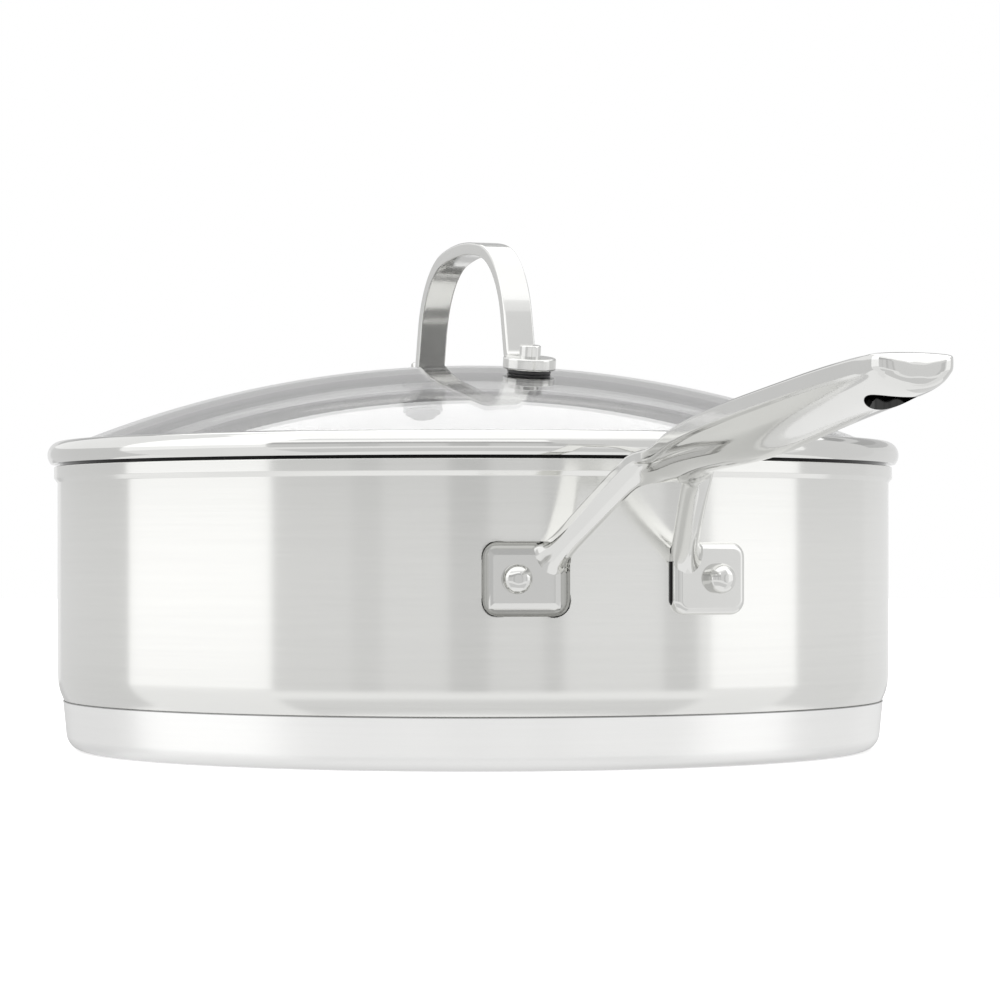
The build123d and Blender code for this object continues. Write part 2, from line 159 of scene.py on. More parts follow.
class HandleSizes(bpy.types.PropertyGroup):
    """Sizes of the long handle and its rivets."""

    angle: in_degrees("Foot angle", "Each foot's place round the pan", 12.2)
    height: length("Height", "Height of the rivets", 0.0503)
    set_out: length("Set out", "From the foot's middle, away from the handle's axis", 0.0021)
    foot: length("Foot", "Thickness of the foot", 0.0023)
    rivet: length("Rivet", "Diameter of the rivet", 0.005)
    head: length("Head", "Diameter of the head", 0.008)
    head_height: length("Head height", "Height of the head", 0.0043)
    head_round: length("Head round", "Rounding of the head", 0.0031)
    inner_head: length("Inner head", "Diameter of the head inside the pan", 0.011)
    inner_height: length("Inner height", "Height of the head inside the pan", 0.0018)
    inner_round: length("Inner round", "Rounding of the head inside the pan", 0.0012)
    foot_width: length("Foot width", "Width of each foot", 0.0226)
    # Painted shade: how far out from the wall the feet's inner edges are painted dark
    foot_shade_depth: length("Foot gap", "Depth of the dark inner edge of each foot", 0.0019)
    foot_sunk: length("Foot sunk", "How far the flat foot reaches into the curved wall", 0.0005)
    foot_height: length("Foot height", "Height of each foot", 0.0192)
    foot_corner: length("Foot corner", "Corner radius of each foot", 0.004)
    foot_round: length("Foot round", "Rounding of the foot's front edge", 0.0021)
    hub_reach: length("Hub reach", "From the pan's axis out to where the arms join", 0.1525)
    hub_height: length("Hub height", "Height of the grip's top where the arms join", 0.076)
    tip_height: length("Tip height", "Height of the grip's top at its tip", 0.0999)
    half_width: length("Half width", "Half the width of the grip", 0.010)
    depth: length("Depth", "Greatest depth of the grip", 0.0142)
    side: length("Side", "Height of the grip's flat side", 0.004)
    crown: length("Crown", "Rise of the grip's top across its width", 0.0005)
    crease: length("Crease", "Step in from the side to the belly", 0.0006)
    top_edge: length("Top edge", "Rounding of the grip's top edges", 0.001)
    end_round: length("End round", "Rounding of the grip's end", 0.0038)
    end_reach: length("End reach", "How far the rounded end stands beyond the packed one", 0.003)
    fork_reach: length("Fork", "From the pan's axis out to the fork's end", 0.1556)
    fork_low: length("Fork underside", "Height of the fork's end at its underside", 0.0752)
    fork_high: length("Fork top", "Height of the fork's end at its top", 0.0800)
    arm_root: FloatVectorProperty(name="Arm root", description="Middle of an arm's top at the foot",
                                  default=(0.119, 0.0186, 0.0582), unit="LENGTH")
    arm_end: FloatVectorProperty(name="Arm end", description="Middle of an arm's top inside the grip",
                                 default=(0.172, 0.005, 0.0866), unit="LENGTH")
    arm_half_width: length("Arm half width", "Half the width of an arm", 0.0036)
    arm_depth: length("Arm depth", "Depth of an arm", 0.0064)
    arm_side: length("Arm side", "Height of an arm's flat side", 0.0026)
    flare: length("Flare", "Spread of an arm's root on its foot", 0.0026)
    hole_set_in: length("Hole set in", "From the tip to the middle of the hanging hole", 0.0103)
    hole_width: length("Hole width", "Width of the hanging hole", 0.012)
    hole_length: length("Hole length", "Length of the hanging hole", 0.0135)


class Finishes(bpy.types.PropertyGroup):
    """Colours and gloss of the materials."""

    steel: colour("Steel", "Colour of the stainless steel", (0.87, 0.87, 0.85))
    satin: colour("Satin steel", "Colour of the base cup", (0.99, 0.99, 0.98))
    core: colour("Core", "Colour of the aluminium core", (0.78, 0.78, 0.79))
    glass: colour("Glass", "Tint of the glass", (0.97, 0.97, 0.97))
    silicone: colour("Silicone", "Colour of the gaskets", (0.07, 0.07, 0.071))
    polish: colour("Polish", "Colour of the polished steel", (0.75, 0.75, 0.735))
    brushed_roughness: share("Brushed roughness", "Roughness of the vessel's wall", 0.16)
    satin_roughness: share("Satin roughness", "Roughness of the base cup", 0.34)
    polish_roughness: share("Polish roughness", "Roughness of the polished pieces", 0.07)
    strap_roughness: share("Strap roughness", "Roughness of the lid's strap", 0.15)


class StudioSettings(bpy.types.PropertyGroup):
    """The camera and the light."""

    lens: FloatProperty(name="Lens", description="Focal length", default=0.12643, unit="CAMERA")
    distance: length("Distance", "From the pan's axis to the camera", 1.03)
    eye: length("Eye", "Height of the camera", 0.0585)
    bearing: in_degrees("Bearing", "Angle from the long handle round to the camera", -18.45)
    shift_x: amount("Shift X", "Sideways shift of the frame", 0.027)
    shift_y: amount("Shift Y", "Upward shift of the frame", 0.0473)
    card_radius: length("Card radius", "From the pan's axis to the cards", 1.6)
    middle: length("Middle", "Height from which the cards' elevations are counted", 0.1)
    overhead: amount("Overhead", "Brightness of the soft box overhead", 1.35)
    overhead_radius: length("Overhead radius", "Radius of the soft box overhead", 2.2)
    overhead_height: length("Overhead height", "Height of the soft box overhead", 2.3)
    floor_radius: length("Floor radius", "Radius of the floor", 3)
    ambient: amount("Ambient", "Brightness of the soft light all round", 0.7)
    floor_lift: amount("Floor lift", "Extra brightness of the floor to the camera", 0.45)


def deselect():
    bpy.ops.object.select_all(action="DESELECT")


def mode(name):
    bpy.ops.object.mode_set(mode=name)


def call(piece, name):
    """Names a piece and its mesh."""
    piece.name = name
    piece.data.name = name


def pick(piece):
    """Makes one piece the only selected and active one."""
    deselect()
    piece.select_set(True)
    bpy.context.view_layer.objects.active = piece


def joined(piece, others):
    """Joins other pieces into one."""
    pick(piece)
    for other in others:
        other.select_set(True)
    bpy.ops.object.join()


def modified(piece, kind, **settings):
    """Adds a modifier with its settings to a piece and applies it."""
    pick(piece)
    bpy.ops.object.modifier_add(type=kind)
    modifier = piece.modifiers[-1]
    for key, value in settings.items():
        setattr(modifier, key, value)
    bpy.ops.object.modifier_apply(modifier=modifier.name)


def choose(mesh, numbers):
    """Selects these vertices and nothing else."""
    for group in (mesh.vertices, mesh.edges, mesh.polygons):
        for item in group:
            item.select = False
    for number in numbers:
        mesh.vertices[number].select = True


def rounded(corners, steps=6):
    """Points of an outline whose corners are given as (across, up, rounding)."""
    points = []
    last = len(corners) - 1
    for index, (across, up, rounding) in enumerate(corners):
        here = Vector((across, up))
        if rounding == 0 or index in (0, last):
            points.append(here)
            continue
        before = Vector(corners[index - 1][:2]) - here
        after = Vector(corners[index + 1][:2]) - here
        half = before.angle(after) / 2
        centre = here + (before.normalized() + after.normalized()).normalized() * rounding / sin(half)
        start = here + before.normalized() * rounding / tan(half) - centre
        end = here + after.normalized() * rounding / tan(half) - centre
        sweep = start.angle_signed(end)
        for step in range(steps + 1):
            turn = Matrix.Rotation(-sweep * step / steps, 2)
            points.append(centre + turn @ start)
    return points


def on_arc(centre, radius, angle):
    """The point of an arc at an angle, counted from straight up towards the outside."""
    return Vector((centre[0] + radius * sin(angle), centre[1] + radius * cos(angle)))


def arc(centre, radius, start, end, steps):
    """Points of an arc from one angle to another."""
    return [on_arc(centre, radius, start + (end - start) * step / steps) for step in range(steps + 1)]


def smooth(piece, angle=radians(32)):
    """Smooth shading that keeps flat stretches flat and sharp edges sharp."""
    pick(piece)
    bpy.ops.object.shade_smooth_by_angle(angle=angle)
    modified(piece, "WEIGHTED_NORMAL", keep_sharp=True, weight=100)


def started(name):
    """A new piece of one vertex at the origin, left in edit mode with that vertex selected."""
    deselect()
    bpy.ops.mesh.primitive_plane_add(size=1, location=(0, 0, 0))
    piece = bpy.context.object
    call(piece, name)
    mode("EDIT")
    bpy.ops.mesh.select_mode(type="VERT")
    bpy.ops.mesh.select_all(action="SELECT")
    bpy.ops.mesh.merge(type="CENTER")
    return piece


def face_outwards():
    """Turns all faces of the piece in edit mode outwards and leaves that mode."""
    bpy.ops.mesh.select_all(action="SELECT")
    bpy.ops.mesh.normals_make_consistent(inside=False)
    mode("OBJECT")


def draw_line(points):
    """Moves the lone vertex to the first point, extrudes it from there through the others and selects all."""
    place = Vector((0, 0, 0))
    for index, point in enumerate(points):
        step = Vector(point) - place
        if index == 0:
            bpy.ops.transform.translate(value=step)
        else:
            bpy.ops.mesh.extrude_vertices_move(TRANSFORM_OT_translate={"value": step})
        place += step
    bpy.ops.mesh.select_all(action="SELECT")


def turned(name, outline, steps):
    """A piece turned about the Z axis from an outline of (radius, height) points."""
    piece = started(name)
    draw_line([(radius, 0, height) for radius, height in outline])
    bpy.ops.mesh.spin(steps=steps, angle=2 * pi, center=(0, 0, 0), axis=(0, 0, 1), use_auto_merge=False)
    bpy.ops.mesh.select_all(action="SELECT")
    bpy.ops.mesh.remove_doubles(threshold=1e-6)
    face_outwards()
    return piece


def placed(piece, matrix):
    """Moves a piece's mesh to its place and leaves its object at the origin."""
    pick(piece)
    piece.matrix_world = matrix
    bpy.ops.object.transform_apply(location=True, rotation=True, scale=True)
    return piece


def copied(piece, name):
    """A copy of a piece under its own name."""
    pick(piece)
    bpy.ops.object.duplicate()
    twin = bpy.context.object
    call(twin, name)
    return twin


def bevel_edges(piece, wanted, offset, segments):
    """Rounds the edges that a test on their two ends picks."""
    pick(piece)
    mesh = piece.data
    choose(mesh, ())
    for edge in mesh.edges:
        first, second = (mesh.vertices[n].co for n in edge.vertices)
        edge.select = wanted(first, second)
    mode("EDIT")
    bpy.ops.mesh.select_mode(type="EDGE")
    bpy.ops.mesh.bevel(offset=offset, offset_type="OFFSET", segments=segments, affect="EDGES")
    mode("OBJECT")


def finish_piece(piece, material, body, *nodes):
    """Gives a piece its material and body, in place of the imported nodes."""
    piece.data.materials.clear()
    piece.data.materials.append(material)
    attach(piece, body)
    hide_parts(*nodes)


def dress(node, material):
    """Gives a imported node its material."""
    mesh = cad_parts[node].data
    mesh.materials.clear()
    mesh.materials.append(material)


class Wire:
    """A node's output that Python's operators work on: an expression adds its Math nodes."""

    def __init__(self, graph, socket):
        self.graph = graph
        self.socket = socket

    def with_this_first(self, operation, other):
        return self.graph.node("ShaderNodeMath", {"operation": operation}, {0: self, 1: other})

    def with_this_second(self, operation, other):
        return self.graph.node("ShaderNodeMath", {"operation": operation}, {0: other, 1: self})

    __add__ = partialmethod(with_this_first, "ADD")
    __radd__ = partialmethod(with_this_second, "ADD")
    __sub__ = partialmethod(with_this_first, "SUBTRACT")
    __rsub__ = partialmethod(with_this_second, "SUBTRACT")
    __mul__ = partialmethod(with_this_first, "MULTIPLY")
    __rmul__ = partialmethod(with_this_second, "MULTIPLY")
    __truediv__ = partialmethod(with_this_first, "DIVIDE")
    __gt__ = partialmethod(with_this_first, "GREATER_THAN")
    __lt__ = partialmethod(with_this_first, "LESS_THAN")
    highest = partialmethod(with_this_first, "MAXIMUM")

    def root(self):
        return self.with_this_first("SQRT", 0)


class Graph:
    """The node tree of a material or of the world."""

    def __init__(self, tree):
        self.tree = tree
        tree.nodes.clear()

    def node(self, kind, settings, inputs, output=0):
        """Adds a node with its settings, then its sockets' values or links, and gives one of its outputs."""
        added = self.tree.nodes.new(kind)
        for key, value in settings.items():
            setattr(added, key, value)
        for key, value in inputs.items():
            if isinstance(value, Wire):
                self.tree.links.new(value.socket, added.inputs[key])
            else:
                added.inputs[key].default_value = value
        return Wire(self, added.outputs[output]) if added.outputs else added

    def place(self):
        """The object's own coordinates."""
        return self.node("ShaderNodeTexCoord", {}, {}, "Object")

    def axes(self):
        """The object's coordinates, one by one."""
        first = self.node("ShaderNodeSeparateXYZ", {}, {0: self.place()}, 0)
        return [Wire(self, output) for output in first.socket.node.outputs]

    def noise(self, vector, scale, detail=2.0):
        return self.node("ShaderNodeTexNoise", {}, {"Vector": vector, "Scale": scale, "Detail": detail}, 0)

    def shade(self, value, dark, light):
        """A colour between two, by a value from 0 to 1."""
        return self.node("ShaderNodeMix", {"data_type": "RGBA"}, {0: value, 6: (*dark, 1), 7: (*light, 1)}, 2)

    def bump(self, height, strength, distance):
        return self.node("ShaderNodeBump", {}, {"Strength": strength, "Distance": distance, "Height": height})

    def principled(self, inputs):
        """Ends the material in a Principled shader."""
        self.surface(self.node("ShaderNodeBsdfPrincipled", {}, inputs, "BSDF"))

    def surface(self, shader):
        kind = "World" if isinstance(self.tree.id_data, bpy.types.World) else "Material"
        self.node("ShaderNodeOutput" + kind, {}, {"Surface": shader})


def new_material(name):
    material = bpy.data.materials.new(name)
    material.use_nodes = True
    return material, Graph(material.node_tree)


def darker(colour_value, factor):
    return tuple(channel * factor for channel in colour_value)


def from_axis(x, y):
    """Distance from the pan's axis."""
    return (x * x + y * y).root()


def around(graph):
    """Coordinates that run slowly along circles about the pan's axis and quickly across them."""
    x, y, z = graph.axes()
    return graph.node("ShaderNodeCombineXYZ", {}, {0: x, 1: y, 2: (z + from_axis(x, y)) * 60})


# Painted shading, which stands in for shadows and was chosen to match the photo: it doesn't follow the light.
# In from the outside of the band, where the vessel's inside and the lid's skirt begin and the wall stands
inside_in = 0.0016
skirt_in = 0.0003
wall_in = 0.001
# Up from the vessel's underside to its dark inside, and down and up from its mouth to the skirt's dark band
inside_up = 0.016
band_down = 0.0007
band_up = 0.0009
# Height of the seam's dark line, and of the cup's shaded corner with the growth of its shade per metre
seam_line = 0.00025
corner_high = 0.004
corner_growth = 125
# Round the axis and down from the dome's top, where the lid's fittings lie below the glass
under_radius = 0.06
under_from = 0.02
under_to = 0.006
# Across from the handle's middle and up from the rivets, where the feet's inner edges are dark
edge_half_width = 0.0147
edge_up = 0.0045
# Shaded size of the hole against its own, and down from the top of the grip's tip
hole_size = 1.03
hole_down = 0.002
# Shares of full shade, in the hole and at the vessel's two ends
hole_shade = 0.93
end_shade = 0.16
# What full shade does to brushed steel, and the colour that it gives polished steel
brushed_shade = (0.4, 0.4, 0.4, 1)
polished_shade = (0.012, 0.012, 0.012, 1)


def brushed(graph, colour_value, level, swing, lines, shadow):
    """Steel brushed in circles about the pan's axis, its colour shaded where the shadow says."""
    fine = graph.noise(lines, 90, 3)
    broad = graph.noise(lines, 14, 2)
    cloud = graph.noise(graph.place(), 20, 2)
    dark, light = darker(colour_value, 1 - swing), darker(colour_value, 1 + swing)
    base = graph.shade(fine * 0.5 + broad * 0.5, dark, light)
    shaded = graph.node("ShaderNodeMix", {"data_type": "RGBA", "blend_type": "MULTIPLY"},
                        {0: shadow, 6: base, 7: brushed_shade}, 2)
    tangent = graph.node("ShaderNodeTangent", {"direction_type": "RADIAL", "axis": "Z"}, {})
    graph.principled({
        "Base Color": shaded, "Metallic": 1.0, "Roughness": fine * 0.06 + cloud * 0.03 + (level - 0.045),
        "Anisotropic": 0.75, "Anisotropic Rotation": 0.25, "Tangent": tangent,
        "Normal": graph.bump(fine + broad * 0.5, 0.12, 0.00002)})


def brushed_steel(graph, finishes):
    """Vessel: bright, finely brushed round it, painted a little duller at both ends and dark inside."""
    x, y, z = graph.axes()
    inside = (from_axis(x, y) < vessel_high.x - inside_in) * (z > vessel_low.z + inside_up)
    height = (z - vessel_low.z) / (vessel_high.z - vessel_low.z) * 2 - 1
    ends = height * height * end_shade
    brushed(graph, finishes.steel, finishes.brushed_roughness, 0.04, around(graph), inside.highest(ends))


def satin_steel(graph, finishes):
    """Base cup: satin, painted dark along the seam at its top edge and duller round its lower corner."""
    x, y, z = graph.axes()
    seam = z > cap_high.z - seam_line
    corner = ((corner_high - z) * corner_growth).highest(0)
    brushed(graph, finishes.satin, finishes.satin_roughness, 0.03, around(graph), seam.highest(corner))


def polished(graph, finishes, level, shadow):
    """Polished steel with faint buffing clouds, dark where the shadow says."""
    cloud = graph.noise(graph.place(), 55, 3)
    wave = graph.noise(graph.place(), 160, 2)
    base = graph.shade(cloud, darker(finishes.polish, 0.97), darker(finishes.polish, 1.03))
    if shadow is not None:
        base = graph.node("ShaderNodeMix", {"data_type": "RGBA"}, {0: shadow, 6: base, 7: polished_shade}, 2)
    graph.principled({
        "Base Color": base, "Metallic": 1.0, "Roughness": cloud * 0.05 + (level - 0.025),
        "Normal": graph.bump(wave, 0.05, 0.0001)})


def polished_steel(graph, finishes):
    """Rivets and washers: mirror polish, painted dark below the glass, where the closed pan shades them."""
    x, y, z = graph.axes()
    below = (z > glass_high.z - under_from) * (z < glass_high.z - under_to)
    polished(graph, finishes, finishes.polish_roughness, (from_axis(x, y) < under_radius) * below)


def strap_steel(graph, finishes):
    """Lid strap: a softer polish."""
    polished(graph, finishes, finishes.strap_roughness, None)


def rim_steel(graph, finishes):
    """Lid rim: mirror polish, painted dark on the skirt just under the bead, for the gap's shadow."""
    x, y, z = graph.axes()
    gap = (z > vessel_high.z - band_down) * (z < vessel_high.z + band_up)
    skirt = (from_axis(x, y) < vessel_high.x - skirt_in) * gap
    polished(graph, finishes, finishes.polish_roughness, skirt)


def cast_steel(graph, finishes):
    """Long handle: mirror polish, painted dark inside the hole and at the feet's inner edges."""
    s = bpy.context.scene.handle_sizes
    x, y, z = graph.axes()
    inner_edge = (y * y < edge_half_width**2) * (z < s.height + edge_up)
    back = (from_axis(x, y) < vessel_high.x - wall_in + s.foot_shade_depth) * inner_edge
    along = (x - (handle_high.x - s.hole_set_in)) / (s.hole_length / 2)
    across = y / (s.hole_width / 2)
    hole = (along * along + across * across < hole_size) * (z < s.tip_height - hole_down)
    polished(graph, finishes, finishes.polish_roughness, back.highest(hole * hole_shade))


def aluminium_core(graph, finishes):
    """Heat spreader inside the base."""
    cloud = graph.noise(graph.place(), 80, 3)
    base = graph.shade(cloud, darker(finishes.core, 0.9), finishes.core)
    graph.principled({
        "Base Color": base, "Metallic": 1.0, "Roughness": cloud * 0.1 + 0.4})


def clear_glass(graph, finishes):
    """Tempered glass of the lid, with the faintest waviness."""
    wave = graph.noise(graph.place(), 12, 1)
    graph.principled({
        "Base Color": graph.shade(wave, darker(finishes.glass, 0.99), finishes.glass),
        "Roughness": 0.0, "IOR": 1.5, "Transmission Weight": 1.0,
        "Normal": graph.bump(wave, 0.02, 0.0002)})


def black_silicone(graph, finishes):
    """Gaskets: matt black with a fine skin."""
    skin = graph.noise(graph.place(), 900, 3)
    base = graph.shade(skin, darker(finishes.silicone, 0.8), darker(finishes.silicone, 1.3))
    graph.principled({
        "Base Color": base, "Roughness": skin * 0.15 + 0.4,
        "Normal": graph.bump(skin, 0.2, 0.00005)})


makers = {maker.__name__: maker for maker in (
    brushed_steel,
    satin_steel,
    polished_steel,
    strap_steel,
    rim_steel,
    cast_steel,
    aluminium_core,
    clear_glass,
    black_silicone,
)}


def finish_of(name, context):
    """The named finish, made the first time that it is asked for."""
    material = bpy.data.materials.get(name + "_finish")
    if material is None:
        material, graph = new_material(name + "_finish")
        makers[name](graph, context.scene.pan_finishes)
    return material


class PAN_OT_vessel(bpy.types.Operator):
    """Model the drawn steel vessel with its stepped band"""

    bl_idname = "pan.vessel"
    bl_label = "Vessel"

    def execute(self, context):
        s = context.scene.pan_sizes
        outer = s.band_radius - s.band_step
        seat = s.band_radius - s.wall
        inner = outer - s.wall
        shoulder = s.mouth - s.band_height
        inside = s.floor + s.wall
        outline = rounded([
            (0, s.floor, 0),
            (outer, s.floor, s.floor_corner),
            (outer, shoulder, s.bend_round),
            (s.band_radius, shoulder + s.band_slope, s.bend_round),
            (s.band_radius, s.mouth, s.edge_round),
            (seat, s.mouth, s.edge_round),
            (seat, s.mouth - s.ledge_depth, 0),
            (inner, s.mouth - s.ledge_depth, s.bend_round),
            (inner, inside, s.floor_corner - s.wall),
            (0, inside, 0),
        ], steps=10)
        piece = turned("vessel", outline, s.turns)
        smooth(piece)
        finish_piece(piece, finish_of("brushed_steel", context), "pan", "pan_body")
        return {"FINISHED"}


class PAN_OT_base_cup(bpy.types.Operator):
    """Model the base cup, with the fine groove inside its top edge, over its core"""

    bl_idname = "pan.base_cup"
    bl_label = "Base Cup"

    def execute(self, context):
        s = context.scene.pan_sizes
        low_radius = s.cap_radius - s.cap_lean
        slope = s.cap_lean / s.cap_height
        lip_inside = s.cap_radius - s.cap_lip
        groove = s.cap_height - s.seam_depth
        groove_radius = s.cap_radius - s.cap_sheet - slope * s.seam_depth
        inner_low = low_radius - s.cap_sheet + slope * s.cap_sheet
        outline = rounded([
            (0, 0, 0),
            (low_radius, 0, s.cap_corner),
            (s.cap_radius, s.cap_height, s.cap_lip / 3),
            (lip_inside, s.cap_height, s.cap_lip / 3),
            (groove_radius, groove, 0),
            (inner_low, s.cap_sheet, s.cap_corner - s.cap_sheet),
            (0, s.cap_sheet, 0),
        ], steps=8)
        piece = turned("base_cup", outline, s.turns)
        smooth(piece)
        finish_piece(piece, finish_of("satin_steel", context), "pan", "base_cap")
        dress("base_core", finish_of("aluminium_core", context))
        return {"FINISHED"}


class PAN_OT_lid_rim(bpy.types.Operator):
    """Model the rolled steel rim of the lid"""

    bl_idname = "pan.lid_rim"
    bl_label = "Lid Rim"

    def execute(self, context):
        s = context.scene.lid_sizes
        pan = context.scene.pan_sizes
        base = pan.mouth + s.bead_lift
        centre = (s.rim_radius - s.bead, base + s.bead_drop)
        hollow = s.bead - s.band
        turn = asin(s.lip_rise / s.lip_length)
        low = pi - asin(sqrt(s.bead**2 - s.bead_drop**2) / s.bead)
        hollow_drop = s.bead_drop - s.band
        hollow_low = pi - asin(sqrt(hollow**2 - hollow_drop**2) / hollow)
        bead = arc(centre, s.bead, low, turn, 28)
        inside = arc(centre, hollow, turn, hollow_low, 16)
        way = Vector((-cos(turn), sin(turn))) * s.lip_length
        lip_end = bead[-1] + way
        lip_under = inside[0] + way
        inner_skirt = s.skirt_radius - s.band
        inner_flange = inner_skirt - s.flange
        lip = [(*bead[-1], 0), (*lip_end, s.band * 0.45), (*lip_under, s.band * 0.2), (*inside[0], 0)]
        outline = [
            Vector((s.skirt_radius, s.rim_base)),
            Vector((s.skirt_radius, base)),
            *bead,
            *rounded(lip)[1:-1],
            *inside,
            Vector((inner_flange, base + s.band)),
            Vector((inner_flange, base)),
            Vector((inner_skirt, base)),
            Vector((inner_skirt, s.rim_base)),
            Vector((s.skirt_radius, s.rim_base)),
        ]
        piece = turned("lid_rim_band", outline, pan.turns)
        smooth(piece)
        finish_piece(piece, finish_of("rim_steel", context), "lid", "lid_rim")
        return {"FINISHED"}


class PAN_OT_lid_glass(bpy.types.Operator):
    """Model the domed glass with its rounded edge"""

    bl_idname = "pan.lid_glass"
    bl_label = "Lid Glass"

    def execute(self, context):
        s = context.scene.lid_sizes
        pan = context.scene.pan_sizes
        centre = (0, s.glass_top - s.dome_radius)
        edge = s.glass / 2
        edge_radius = s.glass_radius - edge
        tilt = asin(edge_radius / (s.dome_radius - edge))
        edge_centre = on_arc(centre, s.dome_radius - edge, tilt)
        outline = [
            *arc(centre, s.dome_radius, 0, tilt, 48),
            *arc(edge_centre, edge, tilt, tilt + pi, 12)[1:-1],
            *arc(centre, s.dome_radius - s.glass, tilt, 0, 48),
        ]
        piece = turned("dome_glass", outline, pan.turns)
        smooth(piece)
        finish_piece(piece, finish_of("clear_glass", context), "lid", "lid_glass")
        return {"FINISHED"}


def flat_ring(name, inner, outer, low, thickness, soft):
    """A flat ring round the rivet's axis, its outer edges rounded."""
    return turned(name, rounded([
        (inner, low, 0),
        (outer, low, soft),
        (outer, low + thickness, soft),
        (inner, low + thickness, 0),
        (inner, low, 0),
    ]), 64)


def stack_place(sizes, side):
    """Where one lid rivet meets the glass, with Z square to the dome."""
    tilt = asin(sizes.rivet_reach / sizes.dome_radius)
    height = sizes.glass_top - sizes.dome_radius + sizes.dome_radius * cos(tilt)
    return Matrix.Translation((side * sizes.rivet_reach, 0, height)) @ Matrix.Rotation(side * tilt, 4, "Y")


class PAN_OT_lid_fittings(bpy.types.Operator):
    """Model the lid's rivets, gaskets and washers"""

    bl_idname = "pan.lid_fittings"
    bl_label = "Lid Fittings"

    def execute(self, context):
        s = context.scene.lid_sizes
        foot_top = s.gasket_thickness + s.foot
        under = -s.glass - s.gasket_thickness - s.washer_thickness
        rivet = turned("lid_rivet", rounded([
            (0, foot_top + s.head_height, 0),
            (s.head / 2, foot_top + s.head_height, s.head_round),
            (s.head / 2, foot_top, 0),
            (s.rivet / 2, foot_top, 0),
            (s.rivet / 2, under, 0),
            (s.tail / 2, under, 0),
            (s.tail / 2, under - s.tail_height, s.tail_height / 2),
            (0, under - s.tail_height, 0),
        ]), 64)
        washer = flat_ring("lid_washer", s.rivet / 2, s.washer / 2, under, s.washer_thickness,
                           s.washer_thickness * 0.3)
        pads = {}
        for level, low in (("upper", 0), ("lower", -s.glass - s.gasket_thickness)):
            pads[level] = flat_ring(level + "_pad", s.rivet / 2, s.gasket / 2, low, s.gasket_thickness,
                                    s.gasket_thickness * 0.25)
        for piece in (rivet, washer, *pads.values()):
            smooth(piece)
        steel = finish_of("polished_steel", context)
        for end, side in (("front", 1), ("back", -1)):
            place = stack_place(s, side)
            for model, kind in ((rivet, "lid_rivet_"), (washer, "lid_washer_")):
                piece = placed(copied(model, kind + end + "_steel"), place)
                finish_piece(piece, steel, "lid", kind + end)
            for level in ("upper", "lower"):
                node = "lid_" + level + "_gasket_" + end
                piece = placed(copied(pads[level], node + "_pad"), place)
                finish_piece(piece, finish_of("black_silicone", context), "lid", node)
        for model in (rivet, washer, *pads.values()):
            bpy.data.objects.remove(model)
        return {"FINISHED"}


class PAN_OT_lid_strap(bpy.types.Operator):
    """Model the bent steel strap of the lid"""

    bl_idname = "pan.lid_strap"
    bl_label = "Lid Strap"

    def execute(self, context):
        s = context.scene.lid_sizes
        outer = self.side_line(s, 0, s.gasket_thickness + s.foot, s.bend)
        inner = self.side_line(s, s.strap, s.gasket_thickness, s.bend + s.strap)
        right = outer + inner[::-1]
        left = [Vector((-point.x, point.y)) for point in reversed(right)]
        piece = started("lid_strap")
        draw_line([(point.x, -s.strap_width / 2, point.y) for point in right + left[1:-1]])
        bpy.ops.mesh.edge_face_add()
        bpy.ops.mesh.extrude_region_move(TRANSFORM_OT_translate={"value": (0, s.strap_width, 0)})
        face_outwards()
        bevel_edges(piece, lambda a, b: abs(a.y - b.y) < 1e-6, s.strap_round, 4)
        low, high = s.gasket_thickness, s.gasket_thickness + s.foot
        tabs = []
        for side in (-1, 1):
            tab = turned("tab", rounded([
                (0, low, 0),
                (s.foot_width / 2, low, s.strap_round),
                (s.foot_width / 2, high, s.strap_round),
                (0, high, 0),
            ]), 96)
            tabs.append(placed(tab, stack_place(s, side)))
        joined(piece, tabs)
        smooth(piece, radians(35))
        finish_piece(piece, finish_of("strap_steel", context), "lid", "lid_handle")
        return {"FINISHED"}

    def side_line(self, s, inset, foot_level, bend):
        """Half of the strap's outer or inner line, from the crown down to the rivet's axis."""
        crown_centre = (0, s.strap_top - s.crown_radius)
        reach = s.crown_radius - s.shoulder_radius
        shoulder_centre = on_arc(crown_centre, reach, s.crown_angle)
        line = arc(crown_centre, s.crown_radius - inset, 0, s.crown_angle, 8)
        line += arc(shoulder_centre, s.shoulder_radius - inset, s.crown_angle, s.leg_angle, 28)[1:]
        tilt = asin(s.rivet_reach / s.dome_radius)
        glass = on_arc((0, s.glass_top - s.dome_radius), s.dome_radius, tilt)
        foot = glass + Vector((sin(tilt), cos(tilt))) * foot_level
        down = Vector((cos(s.leg_angle), -sin(s.leg_angle)))
        level = Vector((cos(tilt), -sin(tilt)))
        gap = foot - line[-1]
        length_down = (gap.x * level.y - gap.y * level.x) / (down.x * level.y - down.y * level.x)
        corner = line[-1] + down * length_down
        return line[:-1] + rounded([(*line[-1], 0), (*corner, bend), (*foot, 0)], steps=8)


def foot_place(sizes, side, wall_radius, aside):
    """Where one foot of the handle or its rivet meets the wall, with Z straight out of it."""
    about = Matrix.Rotation(side * sizes.angle, 4, "Z")
    place = about @ Vector((wall_radius, aside, sizes.height))
    return Matrix.Translation(place) @ about @ Matrix.Rotation(pi / 2, 4, "Y")


